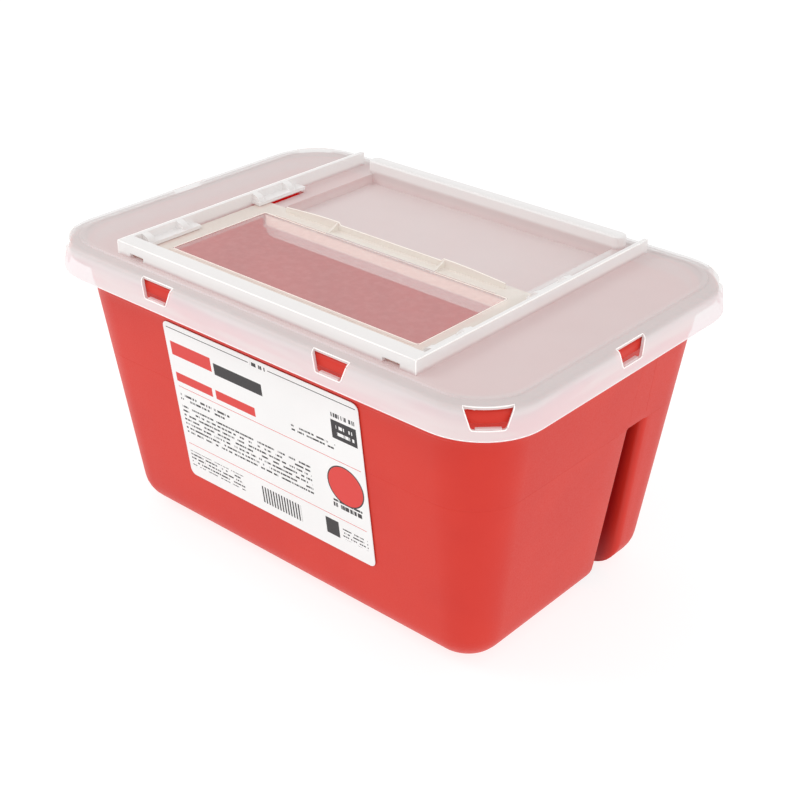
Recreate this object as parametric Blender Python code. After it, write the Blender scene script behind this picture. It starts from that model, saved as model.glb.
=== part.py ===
"""A one-gallon sharps container, built from its separate mouldings.

tub            red moulded bin with tapered walls, a rolled rim and a bracket slot in each short end
lid            translucent press-fit lid with rails, front bar, drop opening, pocket and rear hood
sliding_cover  cover that slides back along the rails, over the pocket, to open the drop opening
front_label    adhesive label on the sloping front wall

The origin is at the bottom centre. +X runs along the long side, the label faces -Y, +Z is up.
"""
import math

import bmesh
import bpy
from mathutils import Matrix, Vector

MM = 0.001

# Tub, in millimetres: half length, half width and corner radius at two heights.
TUB_BASE = (104.0, 63.0, 16.6)
TUB_TOP = (118.5, 80.1, 27.5)
TUB_TOP_HEIGHT = 124.0
BASE_FILLET_HEIGHT = 13.8
BASE_FILLET_WIDTH = 15.4
TUB_WALL = 2.0
TUB_FLOOR = 2.5
RIM_OUTER = (124.5, 85.9, 26.3)
RIM_BOTTOM = 129.9
RIM_TOP = 135.2
RIM_LIP = 1.5
BAND_BOTTOM = 115.8
BAND_RISE = 0.6

# Bracket slots in the short ends: near and far edge in Y at the foot and at the top.
SLOT_FOOT = (18.4, 37.6)
SLOT_HEAD = (22.6, 35.4)
SLOT_HEIGHT = 83.6
SLOT_DEPTH = 14.0

# Lid skirt and deck.
SKIRT_FOOT = (127.5, 88.7, 29.3)
SKIRT_SHOULDER = (126.3, 87.3, 28.1)
SKIRT_BOTTOM = 124.0
SHOULDER_HEIGHT = 134.3
DECK_TOP = 137.1
DECK_THICKNESS = 1.5
SKIRT_WALL = 1.3
SHOULDER_ROUND = 2.5
LEDGE_WIDTH = 3.6
BEAD_WIDTH = 2.6
BEAD_RISE = 0.3
PLUG_OUTER = (116.9, 78.6, 25.8)
PLUG_BOTTOM = 130.6
LID_WALL = 1.3

# Frame on the deck.
FRAME_TOP = 143.4
RAIL_OUTER_X = 83.2
RAIL_WALL = 2.0
FRAME_FRONT_Y = -78.0
BAR_BACK_Y = -70.6
BAR_WALL = 1.8
RAIL_BACK_Y = 75.8
TAB_INNER_X = 75.8
TAB_TOP = 140.1
TAB_THICKNESS = 1.5
TAB_SPANS = ((-66.9, -37.2), (-1.3, 28.4))
GUSSET_CENTRES = (-64.8, -45.2, 0.8, 20.4)
GUSSET_THICKNESS = 3.4
GUSSET_REACH = 4.6
LOCK_WINDOW = (67.0, 75.5)

# Drop opening, pocket and hood.
HOLE_HALF_X = 70.4
HOLE_FRONT_Y = -70.0
LIP_FRONT_Y = -4.4
LIP_THICKNESS = 1.2
LIP_BOTTOM = 127.5
POCKET_HALF_X = 69.4
POCKET_FLOOR = 132.2
POCKET_BACK_Y = 69.2
HOOD_HALF_X = 73.4
HOOD_BACK_Y = 76.5
HOOD_TOP = 143.2

# Windows in the skirt with a snap hook below each.
FRONT_WINDOWS_X = (-48.8, 48.8)
END_WINDOW_Y = -1.0
WINDOW_FOOT = (6.4, 128.3)
WINDOW_HEAD = (10.7, 141.0)
WINDOW_INSET = 2.9
WINDOW_OUTWARD = 4.0
WINDOW_INWARD = 8.0
WINDOW_ROUND = 1.3
HOOK_WIDTH = 9.5
HOOK_BOTTOM = 125.2
HOOK_TOP = 129.0
HOOK_DEPTH = 1.45
HOOK_CLEARANCE = 0.35

# Sliding cover.
COVER_HALF_X = 79.2
COVER_FRONT_Y = -75.6
COVER_BACK_Y = 5.9
COVER_BOTTOM = 137.4
COVER_TOP = 138.3
PANE_HALF_X = 69.0
PANE_FRONT_Y = -60.0
PANE_DROP = 0.3
GROOVE_Y = (-62.4, -61.6)
GROOVE_DROP = 0.25
RIB_HALF_X = 68.6
RIB_BOTTOM = 132.6
RIB_THICKNESS = 1.0
GRIP_HALF_X = 31.0
GRIP_TOP = 139.0
GRIP_FRONT_Y = -4.9
HANDLE_Y = 2.1
HANDLE_THICKNESS = 1.0
HANDLE_HALF_X = 62.3
HANDLE_END_TOP = 140.6
HANDLE_CROWN_TOP = 142.1
HANDLE_MIDDLE_TOP = 140.9
HANDLE_STEP_X = 29.9

# Label.
LABEL_HALF_X = 55.8
LABEL_BOTTOM = 34.5
LABEL_TOP = 115.5
LABEL_THICKNESS = 0.25
LABEL_GAP = 0.35
LABEL_CORNER = 3.0

CORNER_STEPS = 12
OVERCUT = 5.0


def clear_scene():
    for old in list(bpy.data.objects):
        bpy.data.objects.remove(old, do_unlink=True)


def new_collection(name):
    collection = bpy.data.collections.new(name)
    bpy.context.scene.collection.children.link(collection)
    return collection


def plastic(name, colour, roughness):
    material = bpy.data.materials.new(name)
    material.use_nodes = True
    shader = material.node_tree.nodes["Principled BSDF"]
    shader.inputs["Base Color"].default_value = (*colour, 1.0)
    shader.inputs["Roughness"].default_value = roughness
    shader.inputs["Metallic"].default_value = 0.0
    return material


def object_from_bmesh(name, mesh_edit, collection):
    """Finish a bmesh whose coordinates are in millimetres as an object in metres."""
    bmesh.ops.recalc_face_normals(mesh_edit, faces=mesh_edit.faces)
    bmesh.ops.scale(mesh_edit, vec=(MM, MM, MM), verts=mesh_edit.verts)
    mesh = bpy.data.meshes.new(name)
    mesh_edit.to_mesh(mesh)
    mesh_edit.free()
    made = bpy.data.objects.new(name, mesh)
    collection.objects.link(made)
    return made


def mark_as_cutter(tool):
    tool.hide_render = True
    tool.display_type = "WIRE"
    return tool


def box(name, low, high, collection):
    """Cube primitive stretched between two corners."""
    mesh_edit = bmesh.new()
    bmesh.ops.create_cube(mesh_edit, size=1.0)
    low, high = Vector(low), Vector(high)
    bmesh.ops.scale(mesh_edit, vec=high - low, verts=mesh_edit.verts)
    bmesh.ops.translate(mesh_edit, vec=(low + high) / 2, verts=mesh_edit.verts)
    return mark_as_cutter(object_from_bmesh(name, mesh_edit, collection))


def corner_points(centre, radius, start_degrees, steps=CORNER_STEPS):
    """Points of a quarter circle, anticlockwise from the start angle."""
    angles = [math.radians(start_degrees + 90.0 * i / steps) for i in range(steps + 1)]
    return [(centre[0] + radius * math.cos(a), centre[1] + radius * math.sin(a)) for a in angles]


def rounded_rectangle(half_x, half_y, radius, steps=CORNER_STEPS):
    outline = []
    for sign_x, sign_y, start in ((1, 1, 0), (-1, 1, 90), (-1, -1, 180), (1, -1, 270)):
        centre = (sign_x * (half_x - radius), sign_y * (half_y - radius))
        outline += corner_points(centre, radius, start, steps)
    return outline


def loft(name, sections, collection, centre_y=0.0, steps=CORNER_STEPS, placement=Matrix.Identity(4)):
    """Closed solid through rounded rectangles (half_x, half_y, radius, z), capped at both ends."""
    mesh_edit = bmesh.new()
    rings = []
    for half_x, half_y, radius, z in sections:
        outline = rounded_rectangle(half_x, half_y, radius, steps)
        rings.append([mesh_edit.verts.new((x, y + centre_y, z)) for x, y in outline])
    for lower, upper in zip(rings, rings[1:]):
        for i in range(len(lower)):
            j = (i + 1) % len(lower)
            mesh_edit.faces.new((lower[i], lower[j], upper[j], upper[i]))
    mesh_edit.faces.new(reversed(rings[0]))
    mesh_edit.faces.new(rings[-1])
    bmesh.ops.transform(mesh_edit, matrix=placement, verts=mesh_edit.verts)
    return object_from_bmesh(name, mesh_edit, collection)


def plate(name, outline, thickness, placement, collection):
    """Flat outline in a 2D curve, extruded about its plane, then moved by the placement matrix."""
    curve = bpy.data.curves.new(name + "_outline", "CURVE")
    curve.dimensions = "2D"
    curve.fill_mode = "BOTH"
    curve.extrude = thickness / 2
    spline = curve.splines.new("POLY")
    spline.points.add(len(outline) - 1)
    for point, (x, y) in zip(spline.points, outline):
        point.co = (x, y, 0.0, 1.0)
    spline.use_cyclic_u = True
    drawn = bpy.data.objects.new(name + "_outline", curve)
    collection.objects.link(drawn)
    evaluated = drawn.evaluated_get(bpy.context.evaluated_depsgraph_get())
    mesh = bpy.data.meshes.new_from_object(evaluated)
    mesh_edit = bmesh.new()
    mesh_edit.from_mesh(mesh)
    bmesh.ops.remove_doubles(mesh_edit, verts=mesh_edit.verts, dist=0.001)
    bmesh.ops.transform(mesh_edit, matrix=placement, verts=mesh_edit.verts)
    bpy.data.objects.remove(drawn, do_unlink=True)
    bpy.data.meshes.remove(mesh)
    return mark_as_cutter(object_from_bmesh(name, mesh_edit, collection))


def facing_front(y):
    """Placement that stands an (x, z) outline upright at the given y."""
    return Matrix.Translation((0, y, 0)) @ Matrix.Rotation(math.radians(90), 4, "X")


def facing_side(x):
    """Placement that stands a (y, z) outline upright at the given x."""
    return Matrix.Translation((x, 0, 0)) @ Matrix.Rotation(math.radians(90), 4, "Z") @ facing_front(0)


def join_or_cut(target, collection, operation):
    modifier = target.modifiers.new(collection.name, "BOOLEAN")
    modifier.operation = operation
    modifier.operand_type = "COLLECTION"
    modifier.collection = collection
    modifier.solver = "EXACT"


def shifted(section, grow, z):
    """A section moved outwards by grow, or inwards where grow is negative, at height z."""
    half_x, half_y, radius = section[:3]
    return (half_x + grow, half_y + grow, max(radius + grow, 0.8), z)


def tub_section(z):
    """Outer section of the straight tapered wall at height z."""
    share = z / TUB_TOP_HEIGHT
    return tuple(low + (high - low) * share for low, high in zip(TUB_BASE, TUB_TOP))


def base_fillet(inset, floor, steps=6):
    """Sections of the rounded foot, from its flat floor up to the straight wall."""
    sections = []
    height = BASE_FILLET_HEIGHT - floor
    for i in range(steps):
        angle = math.radians(90.0 * i / steps)
        z = floor + height * (1 - math.cos(angle))
        pulled_in = inset + (BASE_FILLET_WIDTH - inset * 0.5) * (1 - math.sin(angle))
        sections.append(shifted(tub_section(z), -pulled_in, z))
    return sections


def slot_block(name, side, grow, collection):
    """Tapered block of a bracket slot, open below the foot and parallel to the end wall."""
    mesh_edit = bmesh.new()
    bmesh.ops.create_cube(mesh_edit, size=2.0)
    head = SLOT_HEIGHT + grow
    foot = -OVERCUT
    for vert in mesh_edit.verts:
        z = head if vert.co.z > 0 else foot
        share = z / SLOT_HEIGHT
        near = SLOT_FOOT[0] + (SLOT_HEAD[0] - SLOT_FOOT[0]) * share - grow
        far = SLOT_FOOT[1] + (SLOT_HEAD[1] - SLOT_FOOT[1]) * share + grow
        wall_x = tub_section(z)[0]
        x = wall_x + OVERCUT if vert.co.x > 0 else wall_x - SLOT_DEPTH - grow
        vert.co = (side * x, far if vert.co.y > 0 else near, z)
    return mark_as_cutter(object_from_bmesh(name, mesh_edit, collection))


def make_tub(assembly, tools):
    rim_round = 2.4
    wall_top = shifted(tub_section(132.6), BAND_RISE, 132.6)
    sections = base_fillet(0.0, 0.0)
    sections += [(*tub_section(z), z) for z in (BASE_FILLET_HEIGHT, BAND_BOTTOM)]
    sections += [shifted(tub_section(BAND_BOTTOM + 0.4), BAND_RISE, BAND_BOTTOM + 0.4), wall_top]
    sections.append(shifted(RIM_OUTER, -RIM_LIP - 0.2, wall_top[3] + 0.4))
    sections.append(shifted(RIM_OUTER, -RIM_LIP, RIM_BOTTOM))
    sections.append(shifted(RIM_OUTER, 0.0, RIM_BOTTOM))
    for i in range(5):
        angle = math.radians(90.0 * i / 4)
        inset = rim_round * (1 - math.cos(angle))
        sections.append(shifted(RIM_OUTER, -inset, RIM_TOP - rim_round * (1 - math.sin(angle))))
    tub = loft("tub", sections, assembly)
    tub.data.materials.append(plastic("tub_red", (0.65, 0.07, 0.05), 0.42))

    hollow = new_tool_collection("tub_hollow", tools)
    inside = base_fillet(TUB_WALL, TUB_FLOOR)
    inside += [shifted(tub_section(z), -TUB_WALL, z) for z in (BASE_FILLET_HEIGHT, TUB_TOP_HEIGHT)]
    inside.append(shifted(tub_section(133.8), -TUB_WALL, 133.8))
    inside.append(shifted(tub_section(RIM_TOP), -TUB_WALL + 1.4, RIM_TOP + 0.01))
    inside.append(shifted(tub_section(RIM_TOP), -TUB_WALL + 1.4, RIM_TOP + OVERCUT))
    cavity = mark_as_cutter(loft("tub_cavity", inside, hollow))
    slot_walls = new_tool_collection("tub_slot_walls", tools)
    slots = new_tool_collection("tub_slots", tools)
    for side, word in ((1, "right"), (-1, "left")):
        slot_block("slot_wall_" + word, side, TUB_WALL, slot_walls)
        slot_block("slot_" + word, side, 0.0, slots)
    join_or_cut(cavity, slot_walls, "DIFFERENCE")
    join_or_cut(tub, slots, "DIFFERENCE")
    join_or_cut(tub, hollow, "DIFFERENCE")
    return tub


def new_tool_collection(name, parent):
    collection = bpy.data.collections.new(name)
    parent.children.link(collection)
    return collection


def skirt_sections():
    """Outside of the lid: skirt, rounded shoulder, flat ledge, low bead all round, then the deck."""
    sections = [(*SKIRT_FOOT, SKIRT_BOTTOM), (*SKIRT_SHOULDER, SHOULDER_HEIGHT)]
    ledge = SHOULDER_HEIGHT + SHOULDER_ROUND
    for i in range(1, 7):
        angle = math.radians(90.0 * i / 6)
        inset = SHOULDER_ROUND * (1 - math.cos(angle))
        sections.append(shifted(SKIRT_SHOULDER, -inset, SHOULDER_HEIGHT + SHOULDER_ROUND * math.sin(angle)))
    bead_start = SHOULDER_ROUND + LEDGE_WIDTH
    bead_end = bead_start + BEAD_WIDTH
    profile = ((bead_start, ledge), (bead_start + 0.5, DECK_TOP + BEAD_RISE),
               (bead_end, DECK_TOP + BEAD_RISE), (bead_end + 0.5, DECK_TOP))
    return sections + [shifted(SKIRT_SHOULDER, -inset, z) for inset, z in profile]


def window_outline():
    """Outline (x, z) of a skirt window: a trapezoid, wider at its head, with rounded lower corners."""
    lean = math.atan2(WINDOW_HEAD[0] - WINDOW_FOOT[0], WINDOW_HEAD[1] - WINDOW_FOOT[1])
    centre_x = WINDOW_FOOT[0] + WINDOW_ROUND * (math.tan(lean) - 1 / math.cos(lean))
    angles = [lean + (math.radians(90) - lean) * i / 3 for i in range(4)]
    right = [(centre_x + WINDOW_ROUND * math.cos(a), WINDOW_FOOT[1] + WINDOW_ROUND * (1 - math.sin(a)))
             for a in angles]
    right = [WINDOW_HEAD] + right
    return right + [(-x, z) for x, z in reversed(right)]


def window_places():
    """Where each skirt window stands on the wall, and the direction that it faces, in degrees."""
    corner = (SKIRT_FOOT[0] - SKIRT_FOOT[2], SKIRT_FOOT[1] - SKIRT_FOOT[2])
    reach = SKIRT_FOOT[2] * math.sqrt(0.5)
    places = []
    for x in FRONT_WINDOWS_X:
        places += [(x, -SKIRT_FOOT[1], -90), (x, SKIRT_FOOT[1], 90)]
    places += [(SKIRT_FOOT[0], END_WINDOW_Y, 0), (-SKIRT_FOOT[0], END_WINDOW_Y, 180)]
    for sign_x in (1, -1):
        for sign_y in (1, -1):
            facing = math.degrees(math.atan2(sign_y, sign_x))
            places.append((sign_x * (corner[0] + reach), sign_y * (corner[1] + reach), facing))
    return places


def cut_windows(cuts, hooks, tools):
    """Trapezoid windows from the skirt up through the deck's edge, and a snap hook inside each."""
    core = new_tool_collection("window_core", tools)
    inset = [shifted(SKIRT_FOOT, -WINDOW_INSET, z) for z in (SKIRT_BOTTOM - OVERCUT, FRAME_TOP)]
    mark_as_cutter(loft("window_core", inset, core, steps=2 * CORNER_STEPS))
    middle = (WINDOW_INWARD - WINDOW_OUTWARD) / 2
    hook_face = {0: SKIRT_FOOT[0] - RIM_OUTER[0], 90: SKIRT_FOOT[1] - RIM_OUTER[1]}
    for number, (x, y, facing) in enumerate(window_places()):
        place = Matrix.Translation((x, y, 0)) @ Matrix.Rotation(math.radians(facing + 90), 4, "Z")
        through = place @ facing_front(middle)
        window = plate(f"window_{number}", window_outline(), WINDOW_INWARD + WINDOW_OUTWARD, through, cuts)
        join_or_cut(window, core, "DIFFERENCE")
        gap = hook_face.get(abs(facing) % 180, SKIRT_FOOT[2] - RIM_OUTER[2])
        inner = gap - HOOK_CLEARANCE
        hook = [(HOOK_WIDTH / 2, HOOK_DEPTH / 2, 0.2, z) for z in (HOOK_BOTTOM, HOOK_TOP)]
        mark_as_cutter(loft(f"hook_{number}", hook, hooks, inner - HOOK_DEPTH / 2, 2, place))


def add_frame(added):
    front, back = FRAME_FRONT_Y, RAIL_BACK_Y
    inner = RAIL_OUTER_X - RAIL_WALL
    foot = DECK_TOP - 0.6
    box("bar_top", (-RAIL_OUTER_X, front, FRAME_TOP - BAR_WALL),
        (RAIL_OUTER_X, BAR_BACK_Y, FRAME_TOP), added)
    for side, word in ((1, "right"), (-1, "left")):
        low_x, high_x = sorted((side * inner, side * RAIL_OUTER_X))
        box("rail_" + word, (low_x, front, foot), (high_x, back, FRAME_TOP), added)
        for number, (near, far) in enumerate(TAB_SPANS):
            low_x, high_x = sorted((side * TAB_INNER_X, side * (inner + 0.5)))
            low = (low_x, near, TAB_TOP - TAB_THICKNESS)
            box(f"tab_{word}_{number}", low, (high_x, far, TAB_TOP), added)
        for number, y in enumerate(GUSSET_CENTRES):
            height = FRAME_TOP - 0.1 - TAB_TOP
            curve = [(inner - GUSSET_REACH * math.cos(a), TAB_TOP + height * math.sin(a))
                     for a in (math.radians(90.0 * i / 4) for i in range(5))]
            profile = [(inner - GUSSET_REACH, TAB_TOP - 0.6)] + curve
            profile += [(inner + 0.5, curve[-1][1]), (inner + 0.5, TAB_TOP - 0.6)]
            outline = [(side * x, z) for x, z in profile]
            plate(f"gusset_{word}_{number}", outline, GUSSET_THICKNESS, facing_front(y), added)


def add_lip(added):
    """Front lip below the pocket floor, with round lower corners."""
    radius = 3.5
    half_top, half_bottom = HOLE_HALF_X + 0.2, HOLE_HALF_X - 1.6
    round_z = LIP_BOTTOM + radius
    outline = [(-half_top, POCKET_FLOOR), *corner_points((-half_bottom + radius, round_z), radius, 180),
               *corner_points((half_bottom - radius, round_z), radius, 270), (half_top, POCKET_FLOOR)]
    plate("lip", outline, LIP_THICKNESS, facing_front(LIP_FRONT_Y + LIP_THICKNESS / 2), added)


def make_lid(assembly, tools):
    lid = loft("lid", skirt_sections(), assembly)
    lid.data.materials.append(plastic("lid_clear", (0.78, 0.72, 0.72), 0.45))
    under_deck = DECK_TOP - DECK_THICKNESS

    hollow = new_tool_collection("lid_hollow", tools)
    channel = [shifted(SKIRT_FOOT, -SKIRT_WALL, SKIRT_BOTTOM - OVERCUT),
               shifted(SKIRT_FOOT, -SKIRT_WALL, SKIRT_BOTTOM),
               shifted(SKIRT_SHOULDER, -SKIRT_WALL, SHOULDER_HEIGHT - 0.6),
               shifted(SKIRT_SHOULDER, -SKIRT_WALL - 0.2, under_deck)]
    mark_as_cutter(loft("lid_underside", channel, hollow))
    join_or_cut(lid, hollow, "DIFFERENCE")

    added = new_tool_collection("lid_added", tools)
    plug = [shifted(PLUG_OUTER, 0.0, PLUG_BOTTOM), shifted(PLUG_OUTER, 0.0, under_deck + 0.7)]
    plug_bore = [shifted(PLUG_OUTER, -LID_WALL, PLUG_BOTTOM - 1.0),
                 shifted(PLUG_OUTER, -LID_WALL, under_deck + 2.0)]
    plug_wall = mark_as_cutter(loft("plug_wall", plug, added))
    bore = new_tool_collection("lid_plug_bore", tools)
    mark_as_cutter(loft("plug_bore", plug_bore, bore))
    join_or_cut(plug_wall, bore, "DIFFERENCE")
    pocket_half = POCKET_HALF_X + LID_WALL
    box("pocket_shell", (-pocket_half, LIP_FRONT_Y, POCKET_FLOOR - LID_WALL),
        (pocket_half, POCKET_BACK_Y + LID_WALL, DECK_TOP - 0.3), added)
    hood_half_y = (HOOD_BACK_Y - POCKET_BACK_Y) / 2
    hood = [(HOOD_HALF_X, hood_half_y, 3.2, DECK_TOP - 0.6), (HOOD_HALF_X, hood_half_y, 3.2, HOOD_TOP - 0.7),
            (HOOD_HALF_X - 0.7, hood_half_y - 0.7, 2.6, HOOD_TOP)]
    hood_y = (HOOD_BACK_Y + POCKET_BACK_Y) / 2
    mark_as_cutter(loft("hood_shell", hood, added, centre_y=hood_y, steps=4))
    box("bar_front", (-RAIL_OUTER_X + 0.5, FRAME_FRONT_Y, DECK_TOP - 0.6),
        (RAIL_OUTER_X - 0.5, FRAME_FRONT_Y + BAR_WALL, FRAME_TOP - 0.5), added)
    add_frame(added)
    add_lip(added)
    join_or_cut(lid, added, "UNION")

    cuts = new_tool_collection("lid_cuts", tools)
    hooks = new_tool_collection("lid_hooks", tools)
    box("drop_opening", (-HOLE_HALF_X, HOLE_FRONT_Y, under_deck - 1.0),
        (HOLE_HALF_X, LIP_FRONT_Y + 0.4, DECK_TOP + 0.5), cuts)
    box("pocket", (-POCKET_HALF_X, LIP_FRONT_Y - 1.0, POCKET_FLOOR),
        (POCKET_HALF_X, POCKET_BACK_Y, HOOD_TOP + 1.0), cuts)
    box("hood_hollow", (-HOOD_HALF_X + 1.4, POCKET_BACK_Y + LID_WALL, PLUG_BOTTOM - 2.0),
        (HOOD_HALF_X - 1.4, HOOD_BACK_Y - LID_WALL, HOOD_TOP - LID_WALL), cuts)
    for side, word in ((1, "right"), (-1, "left")):
        for number, (near, far) in enumerate(TAB_SPANS):
            low_x, high_x = sorted((side * (TAB_INNER_X + 0.3), side * (RAIL_OUTER_X - RAIL_WALL - 0.3)))
            box(f"slit_{word}_{number}", (low_x, near + 0.3, under_deck - 1.0),
                (high_x, far - 0.3, DECK_TOP + 0.5), cuts)
        low_x, high_x = sorted((side * LOCK_WINDOW[0], side * LOCK_WINDOW[1]))
        box("lock_window_" + word, (low_x, FRAME_FRONT_Y - 1.0, DECK_TOP + 0.3),
            (high_x, FRAME_FRONT_Y + BAR_WALL + 0.5, DECK_TOP + 2.3), cuts)
    cut_windows(cuts, hooks, tools)
    join_or_cut(lid, cuts, "DIFFERENCE")
    join_or_cut(lid, hooks, "UNION")
    return lid


def crowned_handle_outline():
    """Outline (x, z) of the upright handle wall: low ends, a crown, and a lower middle stretch."""
    foot = COVER_TOP - 0.4
    span = HANDLE_HALF_X - HANDLE_STEP_X
    rise = HANDLE_CROWN_TOP - HANDLE_END_TOP
    crown = [(HANDLE_HALF_X - span * share, HANDLE_END_TOP + rise * math.sin(math.radians(90 * share)))
             for share in (i / 4 for i in range(5))]
    right = [(HANDLE_HALF_X, foot)] + crown + [(HANDLE_STEP_X - 1.2, HANDLE_MIDDLE_TOP)]
    return right + [(-x, z) for x, z in reversed(right)]


def make_cover(assembly, tools):
    centre_y = (COVER_FRONT_Y + COVER_BACK_Y) / 2
    half_y = (COVER_BACK_Y - COVER_FRONT_Y) / 2
    sections = [(COVER_HALF_X, half_y, 1.5, z) for z in (COVER_BOTTOM, COVER_TOP)]
    cover = loft("sliding_cover", sections, assembly, centre_y=centre_y, steps=3)
    cover.data.materials.append(plastic("cover_cream", (0.80, 0.74, 0.66), 0.40))
    pane_back = LIP_FRONT_Y

    added = new_tool_collection("cover_added", tools)
    rib_outline = [(-RIB_HALF_X, RIB_BOTTOM), (RIB_HALF_X, RIB_BOTTOM),
                   (RIB_HALF_X + 0.4, COVER_BOTTOM + 0.3), (-RIB_HALF_X - 0.4, COVER_BOTTOM + 0.3)]
    plate("rib", rib_outline, RIB_THICKNESS, facing_front(LIP_FRONT_Y + RIB_THICKNESS / 2), added)
    box("grip", (-GRIP_HALF_X, GRIP_FRONT_Y, COVER_BOTTOM), (GRIP_HALF_X, -2.4, GRIP_TOP), added)
    for side, word in ((1, "right"), (-1, "left")):
        low_x, high_x = sorted((side * GRIP_HALF_X, side * HANDLE_HALF_X))
        box("edge_bead_" + word, (low_x - 0.2, LIP_FRONT_Y, COVER_TOP - 0.4),
            (high_x + 0.2, -3.6, COVER_TOP + 0.6), added)
        cheek = [(-4.2, COVER_TOP - 0.4), (-4.2, GRIP_TOP), (HANDLE_Y + 0.5, HANDLE_CROWN_TOP - 0.2),
                 (HANDLE_Y + 0.5, COVER_TOP - 0.4)]
        plate("cheek_" + word, cheek, 1.0, facing_side(side * (HANDLE_STEP_X + 0.5)), added)
    handle_place = facing_front(HANDLE_Y + HANDLE_THICKNESS / 2)
    plate("handle", crowned_handle_outline(), HANDLE_THICKNESS, handle_place, added)
    cuts = new_tool_collection("cover_cuts", tools)
    pane_half_y = (pane_back - PANE_FRONT_Y) / 2
    pane = [(PANE_HALF_X, pane_half_y, 1.5, z) for z in (COVER_TOP - PANE_DROP, COVER_TOP + OVERCUT)]
    mark_as_cutter(loft("pane_recess", pane, cuts, centre_y=(pane_back + PANE_FRONT_Y) / 2, steps=3))
    box("front_groove", (-PANE_HALF_X, GROOVE_Y[0], COVER_TOP - GROOVE_DROP),
        (PANE_HALF_X, GROOVE_Y[1], COVER_TOP + OVERCUT), cuts)
    join_or_cut(cover, cuts, "DIFFERENCE")
    join_or_cut(cover, added, "UNION")
    return cover


def make_label(assembly):
    slope = (TUB_TOP[1] - TUB_BASE[1]) / TUB_TOP_HEIGHT
    tilt = math.atan(slope)
    middle_z = (LABEL_TOP + LABEL_BOTTOM) / 2
    half_height = (LABEL_TOP - LABEL_BOTTOM) / 2 / math.cos(tilt)
    outline = rounded_rectangle(LABEL_HALF_X, half_height, LABEL_CORNER, 4)
    wall_y = -tub_section(middle_z)[1]
    stand_off = LABEL_GAP + LABEL_THICKNESS / 2
    place = Matrix.Translation((0, wall_y, middle_z)) @ Matrix.Rotation(math.radians(90) + tilt, 4, "X")
    place = place @ Matrix.Translation((0, 0, stand_off))
    label = plate("front_label", outline, LABEL_THICKNESS, place, assembly)
    label.hide_render = False
    label.display_type = "TEXTURED"
    label.data.materials.append(plastic("label_white", (0.86, 0.86, 0.85), 0.35))
    return label


def main():
    clear_scene()
    assembly = new_collection("sharps_container")
    tools = new_collection("cutters")
    make_tub(assembly, tools)
    make_lid(assembly, tools)
    make_cover(assembly, tools)
    make_label(assembly)


main()
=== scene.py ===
"""Looks of a one-gallon sharps container: red tub, hazy lid, sliding cover and printed label."""
import math

import bmesh
import bpy
import numpy as np
from mathutils import Matrix, Vector


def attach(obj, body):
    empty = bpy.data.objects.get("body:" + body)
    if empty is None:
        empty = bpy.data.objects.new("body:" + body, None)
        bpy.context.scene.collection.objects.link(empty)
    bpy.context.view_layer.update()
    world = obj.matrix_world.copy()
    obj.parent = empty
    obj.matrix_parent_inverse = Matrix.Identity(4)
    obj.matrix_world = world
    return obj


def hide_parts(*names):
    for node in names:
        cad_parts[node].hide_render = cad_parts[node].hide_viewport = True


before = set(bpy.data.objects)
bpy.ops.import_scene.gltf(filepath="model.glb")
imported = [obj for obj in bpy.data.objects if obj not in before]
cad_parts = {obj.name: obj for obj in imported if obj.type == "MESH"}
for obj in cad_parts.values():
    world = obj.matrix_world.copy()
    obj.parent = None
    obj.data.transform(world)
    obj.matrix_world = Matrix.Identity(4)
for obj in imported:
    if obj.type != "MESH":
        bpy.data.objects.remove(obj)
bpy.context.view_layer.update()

MM = 0.001

# Tub, in millimetres: half length, half width and corner radius at the foot and at the top.
TUB_BASE = np.array([104.0, 63.0, 16.6])
TUB_TOP = np.array([118.5, 80.1, 27.5])
TUB_TOP_HEIGHT = 124.0
FOOT_HEIGHT = 13.8
FOOT_WIDTH = 15.4
WALL = 2.0
FLOOR = 2.5
RIM = np.array([124.5, 85.9, 26.3])
RIM_FOOT = 129.9
RIM_TOP = 135.2
RIM_ROUND = 2.4
BAND_BOTTOM = 115.8
BAND_RISE = 0.6

# Bracket slots in the tub's ends: edges at the foot and at the top, then depth and roundings.
SLOT_FOOT = (18.4, 37.6)
SLOT_HEAD = (22.6, 35.4)
SLOT_TOP = 83.6
SLOT_DEPTH = 14.0
SLOT_CEILING_ROUND = 1.2
SLOT_LIP_ROUND = 0.9
SLOT_WALL_GAP = 1.6
SLOT_SHADE_MARGIN = 1.9

# Lid: skirt, its windows, and the frame that stands on the deck.
SKIRT_HALF = np.array([127.5, 88.7])
SKIRT_RADIUS = 29.3
SKIRT_FOOT_Z = 124.0
SHOULDER_Z = 134.3
SHOULDER_INSET = 1.2
SHOULDER_ROUND = 2.5
FRONT_WINDOWS_X = (-48.8, 48.8)
END_WINDOW_Y = -1.0
WINDOW_FOOT = (6.4, 128.3)
WINDOW_SLANT = 4.3 / 12.7
WINDOW_INSET = 2.9
WINDOW_ROUND = 1.3
FRAME_FOOT_Z = 137.4
FRAME_TOP_Z = 143.3
FRAME_FRONT_Y = -77.9
FRAME_BACK_Y = 75.7
FRAME_SIDE_X = 83.1
POCKET_HALF = 72.0
LIP_TOP_Z = 132.3
LIP_BACK_Y = -3.0
# Radius of the white beads that paint highlights along the lid's edges.
LID_HIGHLIGHT_BEAD = 0.24

# Sliding cover: pane, and the handle wall's top as (x, z) at its ends and its middle.
PANE_HALF_X = 69.0
PANE_FRONT_Y = -60.0
PANE_BACK_Y = -4.4
PANE_ROUND = 1.5
COVER_TOP_Z = 138.3
HANDLE_Y = 2.6
HANDLE_END = (62.3, 140.6)
HANDLE_MIDDLE = (28.7, 140.9)
CROWN_INNER_X = 29.9
CROWN_RISE = 1.5
# Radius of the white beads that paint highlights along the cover's edges.
COVER_HIGHLIGHT_BEAD = 0.17

# Signs of the four corners of a rounded rectangle, and the angle where each corner's arc starts.
CORNERS = ((1, 1, 0.0), (-1, 1, 90.0), (-1, -1, 180.0), (1, -1, 270.0))


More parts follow.
